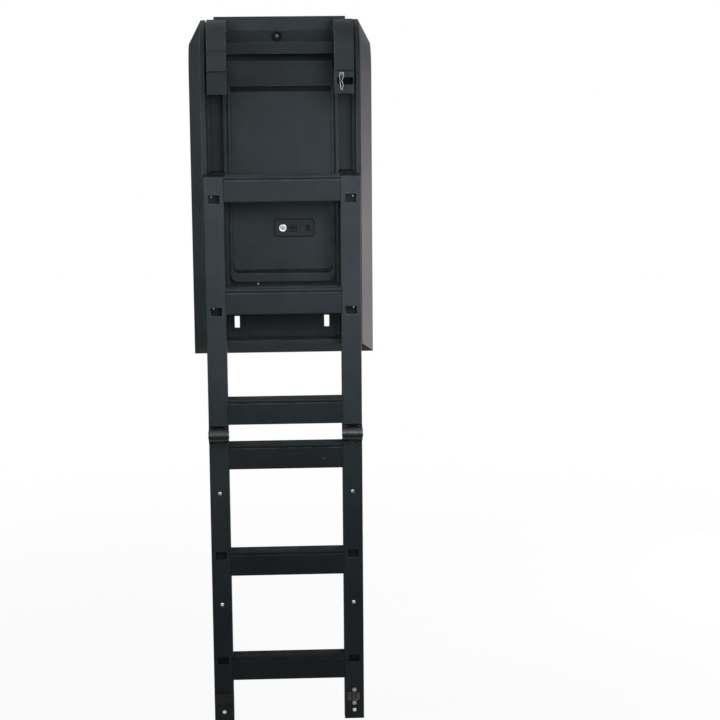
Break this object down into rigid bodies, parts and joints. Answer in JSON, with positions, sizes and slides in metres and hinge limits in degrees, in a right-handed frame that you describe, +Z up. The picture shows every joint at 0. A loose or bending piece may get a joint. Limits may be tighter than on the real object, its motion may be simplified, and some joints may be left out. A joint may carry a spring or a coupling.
{
  "type": "folding side ladder for a truck canopy",
  "caption": "Dark folding ladder that slides in a flared wall housing on the side of a pickup canopy, with a latched hatch, roof hooks and hinged lower section.",
  "frame": {"origin": "flat back face of the housing, on its centre line, level with the lower edge of the canopy side", "axes": "+X to the right seen from outside, +Y into the canopy, square to its side, +Z up"},
  "size_m": [0.472, 0.248, 1.867],
  "materials": {
    "housing_coat": "satin, fine texture",
    "hatch_coat": "satin, fine texture",
    "ladder_coat": "dark coated, satin",
    "hinge_metal": "dark, semi-gloss",
    "pin_steel": "plated",
    "plated_wire": "plated wire, bright",
    "lock_metal": "bright",
    "latch_plastic": "matte",
    "nylon": "matte",
    "pad_rubber": "matte"
  },
  "bodies": {
    "housing": {"back_panel": "housing_coat", "cheek_left": "housing_coat", "cheek_right": "housing_coat", "bottom_skirt": "housing_coat", "hatch_frame": "housing_coat", "hatch_panel": "hatch_coat", "latch_plate": "latch_plastic", "lock_barrel": "lock_metal", "latch_button": "latch_plastic", "header_panel": "housing_coat", "cross_bar": "housing_coat", "top_rail": "housing_coat", "hex_bolt": "hinge_metal", "socket_block_left": "housing_coat", "socket_block_right": "housing_coat", "roof_arm_left": "housing_coat", "roof_arm_right": "housing_coat", "guide_channel_left": "housing_coat", "guide_channel_right": "housing_coat", "guide_stops": "nylon", "r_clip": "plated_wire", "clip_peg": "plated_wire"},
    "upper_ladder": {"upper_rail_left": "ladder_coat", "upper_rail_right": "ladder_coat", "rung_1": "ladder_coat", "rung_2": "ladder_coat", "rung_3": "ladder_coat", "rail_top_caps": "nylon", "slide_shoes_left": "nylon", "slide_shoes_right": "nylon", "hinge_fork_left": "hinge_metal", "hinge_fork_right": "hinge_metal", "hinge_pin_left": "pin_steel", "hinge_pin_right": "pin_steel"},
    "lower_ladder": {"lower_rail_left": "ladder_coat", "lower_rail_right": "ladder_coat", "rung_4": "ladder_coat", "rung_5": "ladder_coat", "rung_6": "ladder_coat", "hinge_knuckle_left": "hinge_metal", "hinge_knuckle_right": "hinge_metal", "foot_caps": "nylon", "staple": "plated_wire", "buffer_pad": "pad_rubber"}
  },
  "joints": [
    {"name": "ladder_slide", "type": "slide", "parent": "housing", "child": "upper_ladder", "axis": [0, 0, 1], "range_m": [0, 0.188]},
    {"name": "ladder_fold", "type": "hinge", "parent": "upper_ladder", "child": "lower_ladder", "pos_m": [0, -0.111, -0.328], "axis": [-1, 0, 0], "range_deg": [0, 180]}
  ]
}
